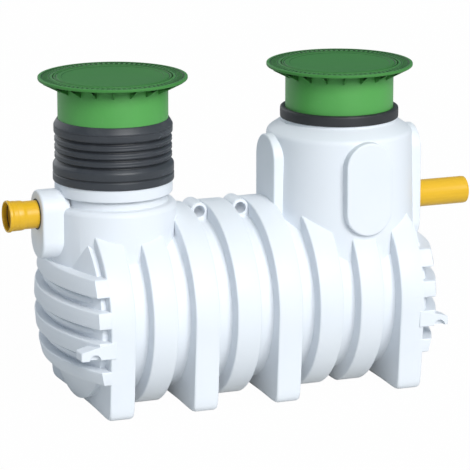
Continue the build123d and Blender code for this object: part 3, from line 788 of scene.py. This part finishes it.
def pipe_paint():
    """Orange drain pipe: drawn streaks along its length and small scratches."""
    paint = Paint("drain_pipe", IOR=1.5, Specular_IOR_Level=0.45)
    streak = paint.noise(60.0, 3.0, 0.55, (0.05, 1, 1))
    cloud = paint.noise(12.0, 2.0)
    scratch = ((paint.noise(70.0, 5.0, 0.7, (0.3, 1, 1)) - 0.66) * 7).clamped()
    base = paint.blend(streak, shade((0.74, 0.42, 0.013)), shade((0.84, 0.50, 0.024)))
    colour = paint.blend(scratch * 0.35, base, shade((0.90, 0.62, 0.14)))
    return paint.finish(colour, 0.28 + cloud * 0.12 + scratch * 0.2, streak, 0.25, 0.0006)


def dark_paint(name, low, high, roughness, shade_ridges=False):
    """Dark rubber or polyethylene: fine turned lines, dust and a satin sheen.

    When asked, painted shade darkens its wave valleys, 1 - (radius - VALLEY_RADIUS) / LINE_FADE, and
    its foot's groove."""
    paint = Paint(name, IOR=1.5, Specular_IOR_Level=0.45)
    lines = paint.noise(90.0, 3.0, 0.5, (0.15, 0.15, 3))
    cloud = paint.noise(7.0, 4.0, 0.6)
    dust = ((cloud - 0.5) * 3).clamped() * paint.facing_up()
    base = paint.blend(cloud, shade(low), shade(high))
    colour = paint.blend(dust * 0.25, base, shade((0.22, 0.22, 0.22)))
    # Painted shade: near black in the wave's valleys and the foot's bead groove, where shade falls
    if shade_ridges:
        _, _, height, radius = paint.from_axis(INLET_X)
        valley_shade = (1 - (radius - VALLEY_RADIUS) / LINE_FADE).clamped()
        groove = (1 - (height - FOOT_GROOVE_HEIGHT).size() / LINE_FADE).clamped()
        colour = paint.blend((valley_shade + groove).clamped() * 0.8, colour, shade((0.004, 0.005, 0.007)))
    return paint.finish(colour, roughness + cloud * 0.14, lines, 0.3, 0.0008)


def shaft_paint():
    """Green polypropylene: even colour with slight clouding, rubbed patches and a fine grain."""
    paint = Paint("shaft_polypropylene", IOR=1.5, Specular_IOR_Level=0.45)
    cloud = paint.noise(5.0, 4.0, 0.6)
    grain = paint.noise(260.0, 3.0, 0.6)
    rub = ((paint.noise(28.0, 6.0, 0.7) - 0.60) * 6).clamped()
    base = paint.blend(cloud, shade((0.082, 0.34, 0.072)), shade((0.100, 0.40, 0.088)))
    colour = paint.blend(rub * 0.22, base, shade((0.22, 0.42, 0.20)))
    return paint.finish(colour, 0.36 + cloud * 0.14 + rub * 0.1, grain, 0.25, 0.0008)


def top_paint(name, x, low, high, lines, slots):
    """Green top: grained, with painted shade in rings at its grooves, steps and edges and in its slots,
    at their real places.

    A shade ring is 1 - |r - place| / width. A shaded slot is cos(count * angle) cut to the land's
    radii; the shade shows only on faces that look up."""
    paint = Paint(name, IOR=1.5, Specular_IOR_Level=0.3)
    along, across, _, radius = paint.from_axis(x)
    # Painted shade: rings at the lip, grooves, seat and edges, and the pressed slots, kept to faces
    # that look up
    painted_shade = 0.0
    for place, width in lines:
        painted_shade = painted_shade + (1 - (radius - place).size() / width).clamped()
    if slots:
        angle = radius.maths("ARCTAN2", across, along)
        slot_shade = ((radius.maths("COSINE", angle * SLOT_COUNT) + 0.3) * 5).clamped()
        land = ((radius - SLOT_INNER) * 400).clamped() * ((SLOT_OUTER - radius) * 400).clamped()
        painted_shade = painted_shade + slot_shade * land
    painted_shade = painted_shade.clamped() * (paint.facing_up() * 2).clamped()
    cloud = paint.noise(5.0, 4.0, 0.6)
    grain = paint.noise(260.0, 3.0, 0.6)
    base = paint.blend(cloud, shade(low), shade(high))
    # Near-black green of the painted shade
    colour = paint.blend(painted_shade * 0.9, base, shade((0.006, 0.026, 0.008)))
    return paint.finish(colour, 0.46 + cloud * 0.14, grain, 0.5, 0.0008)


def make_everything():
    """Makes every piece and gives each its one material."""
    white, orange, green = tank_paint(), pipe_paint(), shaft_paint()
    low, high = (0.034, 0.038, 0.045), (0.050, 0.055, 0.064)
    # The riser's paint also carries painted shade in its wave valleys and foot groove
    black = dark_paint("riser_polyethylene", low, high, 0.34, True)
    soft_black = dark_paint("head_seal_rubber", low, high, 0.38)
    rubber = dark_paint("seal_rubber", (0.020, 0.021, 0.023), (0.035, 0.036, 0.040), 0.45)
    dressed = [
        (make_tank(), white), (make_inlet_pipe(), orange), (make_outlet_pipe(), orange),
        (make_pipe_seal("inlet_seal", -1, PIPE_RADIUS, INLET_PIPE_HEIGHT), rubber),
        (make_pipe_seal("outlet_seal", 1, PIPE_ROOT, OUTLET_PIPE_HEIGHT), rubber),
        (make_socket_seal(), rubber), (make_riser(), black), (make_riser_seal(), soft_black),
        (make_ring_seal(), rubber),
    ]
    for name, x in (("inlet", INLET_X), ("outlet", OUTLET_X)):
        # Painted shade rings as (radius, width): the rim's lip, slot ends and seat; the cover's groove,
        # step and edge
        rim_shade_lines = (LIP_RADIUS - 0.001, 0.009), (SLOT_INNER - 0.005, 0.006), (SEAT_RADIUS, 0.004)
        rim_green = top_paint(f"{name}_frame_green", x, (0.048, 0.225, 0.044), (0.066, 0.265, 0.058),
                              rim_shade_lines, True)
        cover_shade_lines = (0.324, 0.005), (0.291, 0.002), (COVER_RADIUS, 0.003)
        cover_green = top_paint(f"{name}_cover_green", x, (0.028, 0.180, 0.024), (0.044, 0.215, 0.038),
                                cover_shade_lines, False)
        dressed += [(make_shaft(name, x), green), (make_frame(name, x), rim_green),
                    (make_cover(name, x), cover_green)]
    for piece, material in dressed:
        piece.data.materials.clear()
        piece.data.materials.append(material)


# Camera, lights and floor

def place_camera():
    """Camera on a sphere round a point above the tank's middle, looking at that point."""
    turn, rise = math.radians(TURN), math.radians(RISE)
    back = Vector((-math.sin(turn) * math.cos(rise), -math.cos(turn) * math.cos(rise), math.sin(rise)))
    camera = bpy.data.objects.new("camera", bpy.data.cameras.new("camera"))
    bpy.context.scene.collection.objects.link(camera)
    camera.location = Vector((TANK_X, 0, AIM_HEIGHT)) + back * DISTANCE
    camera.rotation_euler = back.to_track_quat("Z", "Y").to_euler()
    camera.data.lens = LENS
    camera.data.sensor_width = 36
    camera.data.clip_end = 200
    bpy.context.scene.camera = camera


def place_lamp(name, direction, strength, angle, colour):
    """Sun lamp that shines from the given direction."""
    light = bpy.data.lights.new(name, "SUN")
    light.energy, light.angle, light.color = strength, math.radians(angle), colour
    holder = bpy.data.objects.new(name, light)
    holder.rotation_euler = Vector(direction).to_track_quat("Z", "Y").to_euler()
    bpy.context.scene.collection.objects.link(holder)


def place_lights():
    """White surroundings to the camera, dimmer light on the object, and three soft suns."""
    world = bpy.data.worlds.new("studio")
    bpy.context.scene.world = world
    world.use_nodes = True
    nodes, links = world.node_tree.nodes, world.node_tree.links
    nodes.clear()
    path = nodes.new("ShaderNodeLightPath")
    pick = nodes.new("ShaderNodeMix")
    pick.data_type = "RGBA"
    pick.inputs["A"].default_value = SURROUNDINGS
    pick.inputs["B"].default_value = (1, 1, 1, 1)
    links.new(path.outputs["Is Camera Ray"], pick.inputs["Factor"])
    backdrop = nodes.new("ShaderNodeBackground")
    links.new(pick.outputs["Result"], backdrop.inputs["Color"])
    out = nodes.new("ShaderNodeOutputWorld")
    links.new(backdrop.outputs["Background"], out.inputs["Surface"])
    for values in LAMPS:
        place_lamp(*values)


def place_floor():
    """Pale floor, nearly white to the camera, that keeps a soft shadow."""
    mesh = bpy.data.meshes.new("floor")
    corners = [(x * FLOOR_SIZE, y * FLOOR_SIZE, -FLOOR_DROP) for x, y in (
        (-1, -1), (1, -1), (1, 1), (-1, 1))]
    mesh.from_pydata(corners, [], [(0, 1, 2, 3)])
    floor = bpy.data.objects.new("floor", mesh)
    bpy.context.scene.collection.objects.link(floor)
    material = bpy.data.materials.new("floor")
    material.use_nodes = True
    nodes, links = material.node_tree.nodes, material.node_tree.links
    nodes.clear()
    diffuse, glow = nodes.new("ShaderNodeBsdfDiffuse"), nodes.new("ShaderNodeEmission")
    diffuse.inputs["Color"].default_value = FLOOR_COLOUR
    path, mix, out = (nodes.new(kind) for kind in (
        "ShaderNodeLightPath", "ShaderNodeMixShader", "ShaderNodeOutputMaterial"))
    share = nodes.new("ShaderNodeMath")
    share.operation = "MULTIPLY"
    share.inputs[1].default_value = FLOOR_GLOW
    links.new(path.outputs["Is Camera Ray"], share.inputs[0])
    links.new(share.outputs[0], mix.inputs[0])
    links.new(diffuse.outputs[0], mix.inputs[1])
    links.new(glow.outputs[0], mix.inputs[2])
    links.new(mix.outputs[0], out.inputs["Surface"])
    mesh.materials.append(material)


make_everything()
place_camera()
place_lights()
place_floor()
bpy.context.scene.view_settings.view_transform = "Standard"
